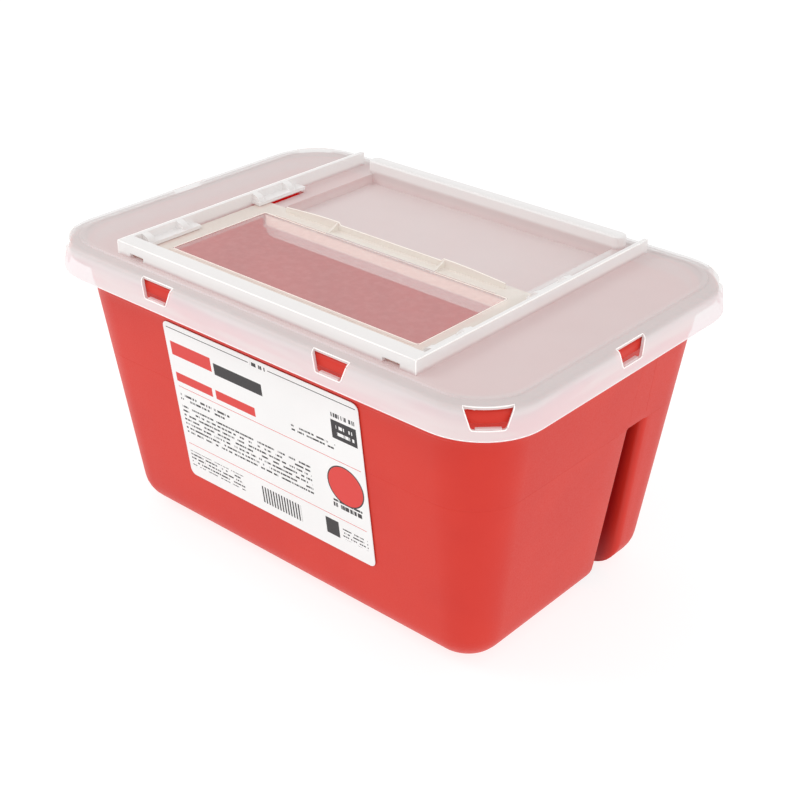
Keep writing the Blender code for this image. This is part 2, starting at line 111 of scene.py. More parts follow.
def linear(red, green, blue):
    """sRGB values from 0 to 255 as linear light."""
    srgb = np.array([red, green, blue]) / 255.0
    light = np.where(srgb <= 0.04045, srgb / 12.92, ((srgb + 0.055) / 1.055) ** 2.4)
    return tuple(float(part) for part in light)


TUB_RED, TUB_RED_DEEP = linear(216, 50, 34), linear(211, 46, 32)
TUB_INSIDE, TUB_INSIDE_DEEP = linear(205, 30, 28), linear(190, 24, 22)
# Painted shade for the inside of the tub's bracket slots.
SLOT_PAINTED_SHADE = linear(158, 8, 8)
LID_WHITE = (0.86, 0.835, 0.825)
# The lid's pink is painted glow: the red tub's light seen in the hazy skirt.
LID_RED_GLOW_PINK = (0.90, 0.78, 0.80)
FRAME_WHITE = (0.93, 0.91, 0.90)
# The two edge colours are painted highlights for the rounded edges of the lid and the cover.
EDGE_HIGHLIGHT_WHITE = (0.97, 0.95, 0.93)
COVER_CREAM = (0.90, 0.84, 0.765)
EDGE_HIGHLIGHT_CREAM = (0.96, 0.92, 0.86)
INK = linear(38, 34, 36)
RED_INK = linear(222, 48, 40)
PAPER = linear(247, 246, 245)


def link_piece(name, mesh):
    piece = bpy.data.objects.new(name, mesh)
    bpy.context.scene.collection.objects.link(piece)
    return piece


class Nodes:
    """Short names for the nodes of one tree."""

    def __init__(self, tree):
        self.nodes, self.links = tree.nodes, tree.links

    def add(self, kind, **settings):
        node = self.nodes.new(kind)
        for key, value in settings.items():
            setattr(node, key, value)
        return node

    def put(self, socket, value):
        if isinstance(value, bpy.types.NodeSocket):
            self.links.new(value, socket)
        elif isinstance(value, (tuple, list)) and len(value) == 3 and socket.type == "RGBA":
            socket.default_value = (*value, 1.0)
        else:
            socket.default_value = value

    def math(self, operation, a, b=0.0, c=0.0):
        node = self.add("ShaderNodeMath", operation=operation)
        for socket, value in zip(node.inputs, (a, b, c)):
            self.put(socket, value)
        return node.outputs[0]

    def both(self, a, b):
        return self.math("MULTIPLY", a, b)

    def between(self, value, low, high):
        """1 where the value lies between two bounds, and 0 elsewhere."""
        return self.both(self.math("GREATER_THAN", value, low), self.math("LESS_THAN", value, high))

    def within(self, value, half):
        """1 where the value is nearer to zero than half, and 0 elsewhere."""
        return self.math("LESS_THAN", self.math("ABSOLUTE", value), half)

    def ramp(self, value, low, high, start=0.0, end=1.0):
        """Value mapped smoothly from low..high to start..end, held at both ends."""
        node = self.add("ShaderNodeMapRange", interpolation_type="SMOOTHSTEP")
        given = {"Value": value, "From Min": low, "From Max": high, "To Min": start, "To Max": end}
        for name, setting in given.items():
            self.put(node.inputs[name], setting)
        return node.outputs["Result"]

    def mix(self, factor, a, b):
        node = self.add("ShaderNodeMix", data_type="RGBA")
        self.put(node.inputs[0], factor)
        self.put(node.inputs[6], a)
        self.put(node.inputs[7], b)
        return node.outputs[2]

    def blend(self, factor, a, b):
        node = self.add("ShaderNodeMix", data_type="FLOAT")
        self.put(node.inputs[0], factor)
        self.put(node.inputs[2], a)
        self.put(node.inputs[3], b)
        return node.outputs[0]

    def noise(self, vector, scale, detail=2.0, roughness=0.5):
        node = self.add("ShaderNodeTexNoise")
        self.put(node.inputs["Vector"], vector)
        self.put(node.inputs["Scale"], scale)
        self.put(node.inputs["Detail"], detail)
        self.put(node.inputs["Roughness"], roughness)
        return node.outputs["Fac"]

    def joined(self, x, y):
        node = self.add("ShaderNodeCombineXYZ")
        self.put(node.inputs["X"], x)
        self.put(node.inputs["Y"], y)
        return node.outputs[0]

    def stretched(self, vector, scale):
        node = self.add("ShaderNodeMapping")
        self.put(node.inputs["Vector"], vector)
        node.inputs["Scale"].default_value = scale
        return node.outputs["Vector"]

    def place(self):
        """Object coordinates in metres, as x, y and z."""
        split = self.add("ShaderNodeSeparateXYZ")
        self.put(split.inputs[0], self.add("ShaderNodeTexCoord").outputs["Object"])
        return split.outputs["X"], split.outputs["Y"], split.outputs["Z"]

    def group(self, tree, **values):
        node = self.add("ShaderNodeGroup", node_tree=tree)
        for name, value in values.items():
            self.put(node.inputs[name.replace("_", " ")], value)
        return node.outputs


def new_group(name, inputs, outputs):
    """Node group whose inputs are numbers with the given defaults, and whose outputs are masks."""
    tree = bpy.data.node_groups.new(name, "ShaderNodeTree")
    for label, default in inputs.items():
        socket = tree.interface.new_socket(label, in_out="INPUT", socket_type="NodeSocketFloat")
        socket.default_value = default
    for label in outputs:
        tree.interface.new_socket(label, in_out="OUTPUT", socket_type="NodeSocketFloat")
    build = Nodes(tree)
    entry, leave = build.add("NodeGroupInput"), build.add("NodeGroupOutput")
    return tree, build, entry.outputs, leave.inputs


def moulded_grain_group():
    """Fine matt texture of a mould, slow cloudiness in the plastic, and streaks that lie level."""
    streak_stretch, streak_scale = (0.12, 0.12, 1.0), 160.0
    tree, build, given, out = new_group(
        "moulded_grain", {"Grain Scale": 900.0, "Cloud Scale": 30.0}, ("Grain", "Cloud", "Streak"))
    place = build.add("ShaderNodeTexCoord").outputs["Object"]
    build.put(out["Grain"], build.noise(place, given["Grain Scale"], 2.0))
    build.put(out["Cloud"], build.noise(place, given["Cloud Scale"], 3.0, 0.6))
    build.put(out["Streak"], build.noise(build.stretched(place, streak_stretch), streak_scale, 2.0))
    return tree


def block_group():
    """Mask of an upright rectangle in the label's plane, between two corners in metres."""
    tree, build, given, out = new_group(
        "print_block", {"Left": 0.0, "Right": 0.0, "Low": 0.0, "High": 0.0}, ("Mask",))
    across, _, up = build.place()
    sides = build.between(across, given["Left"], given["Right"])
    ends = build.between(up, given["Low"], given["High"])
    build.put(out["Mask"], build.both(sides, ends))
    return tree


def rows_group():
    """Mask of rows of dashes that stand for small print: rows by height, words and letters by noise.

    Each row's number moves its noise on, so that no two rows have the same words.
    """
    word_noise, word_limit, word_shift = 1.3, 0.42, 7.31
    letter_noise, letter_limit, letter_shift, letters_per_metre = 2.0, 0.40, 3.17, 900.0
    tree, build, given, out = new_group(
        "print_rows", {"Pitch": 0.002, "Ink": 0.5, "Word": 0.003}, ("Mask",))
    across, _, up = build.place()
    rows = build.math("DIVIDE", up, given["Pitch"])
    row = build.math("FLOOR", rows)
    inked = build.math("LESS_THAN", build.math("FRACT", rows), given["Ink"])
    word_place = build.joined(build.math("DIVIDE", across, given["Word"]), build.both(row, word_shift))
    words = build.math("GREATER_THAN", build.noise(word_place, word_noise, 0.0), word_limit)
    letter_place = build.joined(build.both(across, letters_per_metre), build.both(row, letter_shift))
    letters = build.math("GREATER_THAN", build.noise(letter_place, letter_noise, 0.0), letter_limit)
    build.put(out["Mask"], build.both(inked, build.both(words, letters)))
    return tree


GRAIN = moulded_grain_group()
BLOCK = block_group()
ROWS = rows_group()


def new_material(name, roughness, specular):
    material = bpy.data.materials.new(name)
    material.use_nodes = True
    build = Nodes(material.node_tree)
    shader = material.node_tree.nodes["Principled BSDF"]
    shader.inputs["Roughness"].default_value = roughness
    shader.inputs["Specular IOR Level"].default_value = specular
    return material, build, shader


def vary_roughness(build, shader, grain, smooth, matt):
    build.put(shader.inputs["Roughness"], build.ramp(grain["Grain"], 0.2, 0.8, smooth, matt))


def add_bump(build, shader, grain, strength):
    """The mould's grain as a bump 0.2 mm high."""
    bump = build.add("ShaderNodeBump")
    bump.inputs["Strength"].default_value = strength
    bump.inputs["Distance"].default_value = 0.2 * MM
    build.put(bump.inputs["Height"], grain["Grain"])
    build.put(shader.inputs["Normal"], bump.outputs["Normal"])


def front_only(build, shader, amount):
    """Haze on faces that look at the viewer, and nothing on their backs, so that a wall counts once."""
    backs = build.add("ShaderNodeNewGeometry").outputs["Backfacing"]
    build.put(shader.inputs["Alpha"], build.blend(backs, amount, 0.0))


def red_plastic(name, colour, deep):
    """Satin red polypropylene with slow tone changes between a deep and a full colour."""
    material, build, shader = new_material(name, 0.42, 0.32)
    grain = build.group(GRAIN, Grain_Scale=1400.0, Cloud_Scale=22.0)
    tone = build.mix(build.ramp(grain["Cloud"], 0.3, 0.7), deep, colour)
    vary_roughness(build, shader, grain, 0.38, 0.50)
    add_bump(build, shader, grain, 0.12)
    return material, build, shader, tone


def tub_outside_plastic():
    """Red plastic with painted shade inside the bracket slots, darker by how far a point lies in from the end
    wall.
    """
    material, build, shader, tone = red_plastic("tub_red", TUB_RED, TUB_RED_DEEP)
    x, y, z = build.place()
    slope = (TUB_TOP[0] - TUB_BASE[0]) / TUB_TOP_HEIGHT
    wall = build.math("MULTIPLY_ADD", z, slope, TUB_BASE[0] * MM)
    depth = build.math("SUBTRACT", wall, build.math("ABSOLUTE", x))
    near, far = (SLOT_FOOT[0] - SLOT_SHADE_MARGIN) * MM, (SLOT_FOOT[1] + SLOT_SHADE_MARGIN) * MM
    shaded = build.both(build.between(y, near, far), build.ramp(depth, 1.5 * MM, 8.0 * MM))
    shaded = build.both(shaded, build.math("LESS_THAN", z, (SLOT_TOP + SLOT_LIP_ROUND) * MM))
    # Painted shade: the slots' recesses get a dark red that stands for the shade inside them.
    build.put(shader.inputs["Base Color"], build.mix(shaded, tone, SLOT_PAINTED_SHADE))
    return material


def tub_inside_plastic():
    """Red plastic with a little light of its own, for the daylight that comes through the wall."""
    material, build, shader, tone = red_plastic("tub_inside", TUB_INSIDE, TUB_INSIDE_DEEP)
    build.put(shader.inputs["Base Color"], tone)
    shader.inputs["Emission Color"].default_value = (*TUB_INSIDE, 1.0)
    shader.inputs["Emission Strength"].default_value = 0.30
    return material


def lid_plastic():
    """Natural polypropylene: hazy where it is thin, milky white where ribs and bars make it thick.

    Thickness follows height: the frame stands above the deck and the skirt hangs below it. The pocket
    that the cover slides in has an even haze, and the lip below it glows with light from the tub.
    """
    lip_glow = 0.16
    material, build, shader = new_material("lid_natural", 0.38, 0.5)
    x, y, z = build.place()
    grain = build.group(GRAIN, Grain_Scale=1100.0, Cloud_Scale=26.0)
    thick = build.ramp(z, 137.1 * MM, 139.2 * MM)
    deck = build.ramp(z, 133.5 * MM, 136.8 * MM)
    pocket = build.both(build.within(x, POCKET_HALF * MM), build.within(y, POCKET_HALF * MM))
    cloud = build.ramp(grain["Cloud"], 0.25, 0.75, -0.01, 0.01)
    streak = build.ramp(grain["Streak"], 0.3, 0.7)
    skirt_haze = build.blend(pocket, build.ramp(streak, 0.0, 1.0, 0.80, 0.86), 0.80)
    haze = build.math("ADD", build.blend(deck, skirt_haze, 0.735), cloud)
    front_only(build, shader, build.blend(thick, haze, 0.96))
    # Painted glow: the skirt is tinted pink for the tub's red light coming through it, varying with the
    # streaks.
    red_glow = build.both(build.math("SUBTRACT", 1.0, deck), build.ramp(streak, 0.0, 1.0, 1.0, 0.35))
    red_glow = build.both(red_glow, build.math("SUBTRACT", 1.0, pocket))
    tone = build.mix(thick, build.mix(red_glow, LID_WHITE, LID_RED_GLOW_PINK), FRAME_WHITE)
    build.put(shader.inputs["Base Color"], tone)
    below, ahead = build.math("LESS_THAN", z, LIP_TOP_Z * MM), build.math("LESS_THAN", y, LIP_BACK_Y * MM)
    lip = build.both(pocket, build.both(below, ahead))
    shader.inputs["Emission Color"].default_value = (*LID_WHITE, 1.0)
    build.put(shader.inputs["Emission Strength"], build.both(lip, lip_glow))
    vary_roughness(build, shader, grain, 0.34, 0.46)
    add_bump(build, shader, grain, 0.05)
    return material


def cover_plastic():
    """Cream polypropylene: a clear mottled pane, hazy strips round it, a milky handle and front rib.

    The rib under the front strip glows with light from the tub.
    """
    rib_glow = 0.36
    pane_margin = 0.05
    material, build, shader = new_material("cover_natural", 0.36, 0.5)
    x, y, z = build.place()
    grain = build.group(GRAIN, Grain_Scale=1100.0, Cloud_Scale=240.0)
    depth = build.between(y, PANE_FRONT_Y * MM, (PANE_BACK_Y - pane_margin) * MM)
    pane = build.both(build.within(x, PANE_HALF_X * MM), depth)
    mottle = build.ramp(grain["Cloud"], 0.35, 0.75, 0.335, 0.365)
    rib = build.ramp(z, 136.8 * MM, 137.2 * MM, 0.97, 0.82)
    level = build.blend(build.math("LESS_THAN", y, PANE_FRONT_Y * MM), rib, 0.84)
    strips = build.blend(build.ramp(z, 137.6 * MM, 140.0 * MM), level, 0.80)
    front_only(build, shader, build.blend(pane, strips, mottle))
    build.put(shader.inputs["Base Color"], build.mix(pane, COVER_CREAM, LID_WHITE))
    shader.inputs["Emission Color"].default_value = (*COVER_CREAM, 1.0)
    build.put(shader.inputs["Emission Strength"], build.ramp(z, 136.9 * MM, 137.3 * MM, rib_glow, 0.0))
    vary_roughness(build, shader, grain, 0.30, 0.42)
    add_bump(build, shader, grain, 0.05)
    return material


def painted_edge_highlight(name, colour):
    """Painted highlights on the rounded edges of the clear mouldings: white beads that glow a little, where
    light gathers and the plastic looks white.
    """
    material, build, shader = new_material(name, 0.34, 0.5)
    shader.inputs["Base Color"].default_value = (*colour, 1.0)
    shader.inputs["Emission Color"].default_value = (*colour, 1.0)
    shader.inputs["Emission Strength"].default_value = 0.22
    front_only(build, shader, 0.90)
    return material


def label_print():
    """White film with plain blocks and dashes of ink in place of words and signs.

    Places are millimetres across from the tub's middle and up from its foot, as left, right, low and
    high. A row also has its pitch, the share of it that is inked, and a word's length.
    """
    material, build, shader = new_material("label_film", 0.34, 0.45)
    grain = build.group(GRAIN, Grain_Scale=800.0, Cloud_Scale=18.0)
    shaded_paper = tuple(part * 0.97 for part in PAPER)
    colour = build.mix(build.ramp(grain["Cloud"], 0.3, 0.7), PAPER, shaded_paper)
    x, _, z = build.place()

    def block(left, right, low, high):
        return build.group(BLOCK, Left=left * MM, Right=right * MM, Low=low * MM, High=high * MM)["Mask"]

    def rows(left, right, low, high, pitch, ink, word):
        dashes = build.group(ROWS, Pitch=pitch * MM, Ink=ink, Word=word * MM)["Mask"]
        return build.both(block(left, right, low, high), dashes)

    def disc(middle_x, middle_z, radius):
        across = build.math("POWER", build.math("SUBTRACT", x, middle_x * MM), 2.0)
        up = build.math("POWER", build.math("SUBTRACT", z, middle_z * MM), 2.0)
        return build.math("LESS_THAN", build.math("SQRT", build.math("ADD", across, up)), radius * MM)

    bars = build.math("LESS_THAN", build.math("FRACT", build.math("DIVIDE", x, 1.65 * MM)), 0.5)
    prints = [
        (INK, block(-53.9, -4.2, 112.55, 112.95)),
        (INK, block(6.9, 54.4, 112.55, 112.95)),
        (INK, rows(-3.2, 6.0, 111.6, 113.9, 2.6, 0.7, 2.0)),
        (RED_INK, block(-53.1, -28.4, 99.1, 106.0)),
        (INK, block(-26.8, 1.6, 98.4, 104.2)),
        (RED_INK, block(-53.2, -30.5, 85.6, 90.2)),
        (RED_INK, block(-28.4, -4.7, 85.6, 90.2)),
        (RED_INK, block(-53.0, 53.7, 82.75, 83.05)),
        (RED_INK, block(-53.6, 53.0, 52.2, 52.5)),
        (INK, block(40.0, 53.5, 94.0, 103.0)),
        (INK, rows(40.5, 53.0, 104.4, 107.0, 2.9, 0.7, 3.0)),
        (INK, rows(16.3, 40.8, 87.0, 91.0, 2.0, 0.45, 3.0)),
        (INK, rows(-53.0, -22.0, 76.0, 80.0, 2.3, 0.5, 4.0)),
        (INK, rows(-53.0, 24.5, 57.3, 74.0, 2.25, 0.42, 4.0)),
        (INK, rows(35.7, 52.0, 57.6, 62.0, 2.9, 0.75, 6.0)),
        (INK, rows(-53.5, -19.6, 40.3, 48.4, 2.0, 0.42, 3.5)),
        (INK, block(29.6, 37.0, 41.3, 49.7)),
        (INK, rows(39.0, 53.0, 42.0, 48.4, 1.8, 0.4, 3.0)),
        (INK, build.both(bars, block(-8.25, 15.0, 39.5, 48.4))),
        (INK, disc(43.9, 70.9, 10.0)),
        (RED_INK, disc(43.9, 70.9, 9.4)),
        (PAPER, rows(41.5, 52.0, 95.5, 101.5, 3.2, 0.5, 4.0)),
    ]
    for ink, mask in prints:
        colour = build.mix(mask, colour, ink)
    build.put(shader.inputs["Base Color"], colour)
    vary_roughness(build, shader, grain, 0.30, 0.40)
    return material


def tub_section(z):
    """Half length, half width and corner radius of the straight wall, in proportion to height z."""
    share = np.asarray(z, float)[..., None] / TUB_TOP_HEIGHT
    return TUB_BASE + (TUB_TOP - TUB_BASE) * share


def inset_sections(z, inset):
    """Sections of the wall at heights z, moved outwards by inset, or inwards where it is negative."""
    sections = tub_section(z) + np.asarray(inset, float)[:, None]
    sections[:, 2] = np.maximum(sections[:, 2], 0.8)
    return sections


def quarter(steps):
    return np.radians(np.linspace(0.0, 90.0, steps))


def inner_shares(count):
    """Even shares of a straight side between its ends, without the ends themselves."""
    return np.linspace(0.0, 1.0, count)[1:-1]


def slot_outline(grow):
    """Points across a slot: share of its width, millimetres beside it, depth share, millimetres of depth.

    They follow four quarter circles: into the slot, round its two inner corners, and out of it again.
    """
    near, far, deep = 0.8, 3.0, 1.2
    turn = quarter(5)
    zero, one = np.zeros(5), np.ones(5)
    rise, fall = 1 - np.cos(turn), 1 - np.sin(turn)
    points = np.concatenate([
        np.stack([zero, -near * fall, zero, near * rise], 1),
        np.stack([zero, deep * rise, one, -deep * fall], 1),
        np.stack([one, -deep * fall, one, -deep * rise], 1),
        np.stack([one, far * rise, zero, far * fall], 1),
    ])
    points[:, 1] += np.where(points[:, 0] < 0.5, -grow, grow)
    return points


def tub_rings(sections, heights, depths, grow, insets):
    """Rings round the tub, one for each height.

    Each ring is a rounded rectangle. Across each short end it dips inwards by the slot's depth, between
    slot edges that close in with height; where the foot's rounding is deeper than the slot, the foot wins.
    The slot's own roundings shrink with its depth below 4 mm.
    """
    full_rounding = 4.0
    half_x, half_y, radius = (sections[:, i, None] for i in range(3))
    z = np.asarray(heights, float)[:, None]
    share = z / SLOT_TOP
    near = SLOT_FOOT[0] + (SLOT_HEAD[0] - SLOT_FOOT[0]) * share
    far = SLOT_FOOT[1] + (SLOT_HEAD[1] - SLOT_FOOT[1]) * share
    slot = slot_outline(grow)
    y_slot = near + (far - near) * slot[:, 0] + slot[:, 1]
    depth = np.asarray(depths, float)[:, None]
    rounding = np.where(depth > full_rounding, slot[:, 3], slot[:, 3] * depth / full_rounding)
    full = np.maximum(slot[:, 2] * depth + rounding, 0.0)
    wall_x = half_x + np.asarray(insets, float)[:, None]
    x_slot = np.minimum(wall_x - full, half_x)
    corner_x, corner_y = half_x - radius, half_y - radius
    y_before = -corner_y + (y_slot[:, :1] + corner_y) * inner_shares(7)
    y_after = y_slot[:, -1:] + (corner_y - y_slot[:, -1:]) * inner_shares(4)
    right_y = np.concatenate([y_before, y_slot, y_after], 1)
    right_x = np.concatenate([half_x + np.zeros_like(y_before), x_slot, half_x + np.zeros_like(y_after)], 1)
    turn = quarter(15)
    arc_x, arc_y = radius * np.cos(turn), radius * np.sin(turn)
    back_x = corner_x * (1 - 2 * inner_shares(13))
    back_y = half_y + np.zeros_like(back_x)
    ring_x = np.concatenate([corner_x + arc_y, right_x, corner_x + arc_x, back_x,
                             -corner_x - arc_x[:, ::-1], -right_x[:, ::-1], -corner_x - arc_x, -back_x], 1)
    ring_y = np.concatenate([-corner_y - arc_x, right_y, corner_y + arc_y, back_y,
                             corner_y + arc_y[:, ::-1], right_y[:, ::-1], -corner_y - arc_y, -back_y], 1)
    return np.stack([ring_x, ring_y, z + np.zeros_like(ring_x)], 2)


def slot_end(top, turn):
    """Heights and depths where a slot ends: its round ceiling, then the round lip above it."""
    ceiling_z = top - SLOT_CEILING_ROUND * (1 - np.sin(turn))
    ceiling_depth = SLOT_DEPTH - SLOT_CEILING_ROUND * (1 - np.cos(turn))
    lip_z = top + SLOT_LIP_ROUND * (1 - np.cos(turn))
    lip_depth = SLOT_LIP_ROUND * (1 - np.sin(turn))
    return (ceiling_z, ceiling_depth), (lip_z, lip_depth)


def outside_rings():
    """Outside of the tub: rounded foot, straight wall with the slots, plain wall, then the raised band."""
    foot_turn = quarter(10)[:-1]
    foot_z = FOOT_HEIGHT * (1 - np.cos(foot_turn))
    foot_inset = -FOOT_WIDTH * (1 - np.sin(foot_turn))
    wall_z = np.linspace(FOOT_HEIGHT, SLOT_TOP - SLOT_WALL_GAP, 14)
    (ceiling_z, ceiling_depth), (lip_z, lip_depth) = slot_end(SLOT_TOP, quarter(5))
    plain_z = np.array([88.0, 94.0, 100.0, 106.0, 112.0, BAND_BOTTOM - 0.3])
    step_z = BAND_BOTTOM + np.array([0.0, 0.15, 0.4])
    band_z = np.array([BAND_BOTTOM + 0.7, 120.0, 124.0, 128.0, 132.0])
    step_inset = BAND_RISE * np.array([0.15, 0.4, 0.85])
    heights = np.concatenate([foot_z, wall_z, ceiling_z, lip_z, plain_z, step_z, band_z])
    straight = np.zeros(len(heights) - len(foot_z) - len(step_z) - len(band_z))
    insets = np.concatenate([foot_inset, straight, step_inset, np.full(len(band_z), BAND_RISE)])
    slotted = np.full(len(foot_z) + len(wall_z), SLOT_DEPTH)
    above = np.zeros(len(plain_z) + len(step_z) + len(band_z))
    depths = np.concatenate([slotted, ceiling_depth, lip_depth, above])
    return tub_rings(inset_sections(heights, insets), heights, depths, 0.0, -insets)


def rim_rings():
    """Rim: out from the band with a small round edge, over its round top, and onto the inner wall."""
    edge_round = 0.5
    rim = [(RIM - 1.9, 132.4), (RIM - 1.7, RIM_FOOT + 0.5), (RIM - 1.4, RIM_FOOT + 0.1)]
    rim.append((RIM - 1.0, RIM_FOOT))
    rim += [(RIM - edge_round * (1 - math.sin(a)), RIM_FOOT + edge_round * (1 - math.cos(a)))
            for a in quarter(4)]
    rim += [(RIM - RIM_ROUND * (1 - math.cos(a)), RIM_TOP - RIM_ROUND * (1 - math.sin(a)))
            for a in quarter(8)]
    inner = tub_section(RIM_TOP - 1.4) - WALL
    rim += [(inner + 1.4, RIM_TOP), (inner + 0.9, RIM_TOP - 0.1), (inner + 0.3, RIM_TOP - 0.6)]
    rim.append((inner, RIM_TOP - 1.4))
    level = np.zeros(len(rim))
    return tub_rings(np.array([section for section, _ in rim]), [z for _, z in rim], level, 0.0, level)


def inside_rings():
    """Inside of the tub from the rim down: plain wall, ledges over the slots, wall, rounded foot."""
    down_z = np.array([128.0, 120.0, 110.0, 100.0, 92.0])
    ledge = SLOT_TOP + WALL
    (ceiling_z, ceiling_depth), (lip_z, lip_depth) = slot_end(ledge, quarter(5)[::-1])
    wall_z = np.linspace(ledge - SLOT_WALL_GAP, FOOT_HEIGHT, 12)
    foot_turn = quarter(10)[:-1][::-1]
    foot_z = FLOOR + (FOOT_HEIGHT - FLOOR) * (1 - np.cos(foot_turn))
    foot_inset = -(FOOT_WIDTH - 1.0) * (1 - np.sin(foot_turn))
    heights = np.concatenate([down_z, lip_z, ceiling_z, wall_z, foot_z])
    insets = np.concatenate([np.zeros(len(heights) - len(foot_z)), foot_inset])
    slotted = np.full(len(wall_z) + len(foot_z), SLOT_DEPTH)
    depths = np.concatenate([np.zeros(len(down_z)), lip_depth, ceiling_depth, slotted])
    return tub_rings(inset_sections(heights, insets - WALL), heights, depths, WALL, -insets)


def make_tub():
    """Red tub: a profile carried up the outside, over the rim and down the inside, and two flat floors."""
    outside, rim, inside = outside_rings(), rim_rings(), inside_rings()
    rings = np.concatenate([outside, rim, inside]) * MM
    count, around = rings.shape[:2]
    index = np.arange(count * around).reshape(count, around)
    following = np.roll(index, -1, axis=1)
    quads = np.stack([index[:-1], following[:-1], following[1:], index[1:]], -1).reshape(-1, 4)
    faces = quads.tolist() + [index[0, ::-1].tolist(), index[-1].tolist()]
    mesh = bpy.data.meshes.new("tub_moulding")
    mesh.from_pydata(rings.reshape(-1, 3).tolist(), [], faces)
    inner_from = (len(outside) + len(rim) - 3) * around
    finishes = np.zeros(len(faces), int)
    finishes[inner_from:-2] = 1
    finishes[-1] = 1
    mesh.polygons.foreach_set("material_index", finishes)
    mesh.polygons.foreach_set("use_smooth", np.ones(len(faces), bool))
    tub = link_piece("tub_moulding", mesh)
    mesh.materials.append(tub_outside_plastic())
    mesh.materials.append(tub_inside_plastic())
    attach(tub, "base")
    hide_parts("tub")


def moulded(node, name, body, edge_width, finish):
    """Clean copy of a CAD node: doubles merged, flat faces joined, edges rounded over."""
    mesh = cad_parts[node].data.copy()
    mesh.materials.clear()
    mesh_edit = bmesh.new()
    mesh_edit.from_mesh(mesh)
    bmesh.ops.remove_doubles(mesh_edit, verts=mesh_edit.verts, dist=0.005 * MM)
    bmesh.ops.dissolve_limit(mesh_edit, angle_limit=math.radians(1.0), verts=mesh_edit.verts,
                             edges=mesh_edit.edges, use_dissolve_boundaries=False)
    for face in mesh_edit.faces:
        face.smooth = True
    mesh_edit.to_mesh(mesh)
    mesh_edit.free()
    piece = link_piece(name, mesh)
    rounding = piece.modifiers.new("rounding", "BEVEL")
    rounding.width = edge_width * MM
    rounding.segments = 2
    rounding.limit_method = "ANGLE"
    rounding.angle_limit = math.radians(32)
    shade = piece.modifiers.new("shade", "WEIGHTED_NORMAL")
    shade.keep_sharp = True
    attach(piece, body)
    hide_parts(node)
    mesh.materials.append(finish)


def tube(path, radius, closed, sides=6):
    """Vertices and faces of a thin round bead: a circle across the path at each of its points."""
    path = np.asarray(path, float)
    if closed:
        ahead = np.roll(path, -1, axis=0) - np.roll(path, 1, axis=0)
    else:
        ahead = np.gradient(path, axis=0)
    ahead /= np.linalg.norm(ahead, axis=1)[:, None]
    guide = np.where(np.abs(ahead[:, 2:]) > 0.9, [[0.6, 0.8, 0.0]], [[0.0, 0.0, 1.0]])
    side = np.cross(ahead, guide)
    side /= np.linalg.norm(side, axis=1)[:, None]
    up = np.cross(side, ahead)
    turn = np.radians(np.arange(sides) * 360.0 / sides)[None, :, None]
    rings = path[:, None] + radius * (side[:, None] * np.cos(turn) + up[:, None] * np.sin(turn))
    index = np.arange(len(path) * sides).reshape(len(path), sides)
    nearer, further = (index, np.roll(index, -1, axis=0)) if closed else (index[:-1], index[1:])
    quads = np.stack([nearer, further, np.roll(further, -1, axis=1), np.roll(nearer, -1, axis=1)], -1)
    faces = quads.reshape(-1, 4).tolist()
    if not closed:
        faces += [index[0].tolist(), index[-1, ::-1].tolist()]
    return rings.reshape(-1, 3), faces


def highlight_bead_piece(name, tubes, finish, body):
    """Several painted highlight beads, in millimetres, as one piece."""
    points, faces = [], []
    for tube_points, tube_faces in tubes:
        start = len(points)
        points += tube_points.tolist()
        faces += [[start + corner for corner in face] for face in tube_faces]
    mesh = bpy.data.meshes.new(name)
    mesh.from_pydata((np.array(points) * MM).tolist(), [], faces)
    mesh.polygons.foreach_set("use_smooth", np.ones(len(faces), bool))
    mesh.materials.append(finish)
    piece = link_piece(name, mesh)
    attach(piece, body)


def level_loop(corner, reach, centre_y, z, steps):
    """Rounded rectangle at height z: a quarter circle of radius reach round each of four corner centres."""
    arcs = []
    for sign_x, sign_y, start in CORNERS:
        swing = quarter(steps) + math.radians(start)
        arcs.append(np.column_stack([sign_x * corner[0] + reach * np.cos(swing),
                                     centre_y + sign_y * corner[1] + reach * np.sin(swing)]))
    plan = np.concatenate(arcs)
    return np.column_stack([plan, np.full(len(plan), z)])


def skirt_inset(z):
    """How far the skirt's outside lies in from its foot at height z, over the round shoulder as well."""
    straight = SHOULDER_INSET * (z - SKIRT_FOOT_Z) / (SHOULDER_Z - SKIRT_FOOT_Z)
    over = np.clip((z - SHOULDER_Z) / SHOULDER_ROUND, 0.0, 1.0)
    return np.minimum(straight, SHOULDER_INSET) + SHOULDER_ROUND * (1 - np.sqrt(1 - over ** 2))


def window_path():
    """Closed outline of a window, (half width, height): foot, round corners, slanted sides, straight head."""
    lean = math.atan(WINDOW_SLANT)
    level = 1 - (WINDOW_INSET - SHOULDER_INSET) / SHOULDER_ROUND
    head_z = SHOULDER_Z + SHOULDER_ROUND * math.sqrt(1 - level ** 2)
    centre = WINDOW_FOOT[0] + WINDOW_ROUND * (math.tan(lean) - 1 / math.cos(lean))
    turn = np.linspace(math.radians(90), lean, 6)
    corner = np.stack([centre + WINDOW_ROUND * np.cos(turn),
                       WINDOW_FOOT[1] + WINDOW_ROUND * (1 - np.sin(turn))], 1)
    side_z = np.linspace(corner[-1, 1], head_z, 18)[1:]
    side = np.stack([WINDOW_FOOT[0] + WINDOW_SLANT * (side_z - WINDOW_FOOT[1]), side_z], 1)
    half = np.concatenate([corner, side])
    head_x = np.linspace(half[-1, 0], -half[-1, 0], 14)[1:-1]
    head = np.stack([head_x, np.full(len(head_x), head_z)], 1)
    foot_x = np.linspace(-centre, centre, 9)[1:-1]
    foot = np.stack([foot_x, np.full(len(foot_x), WINDOW_FOOT[1])], 1)
    return np.concatenate([half, head, half[::-1] * (-1, 1), foot])


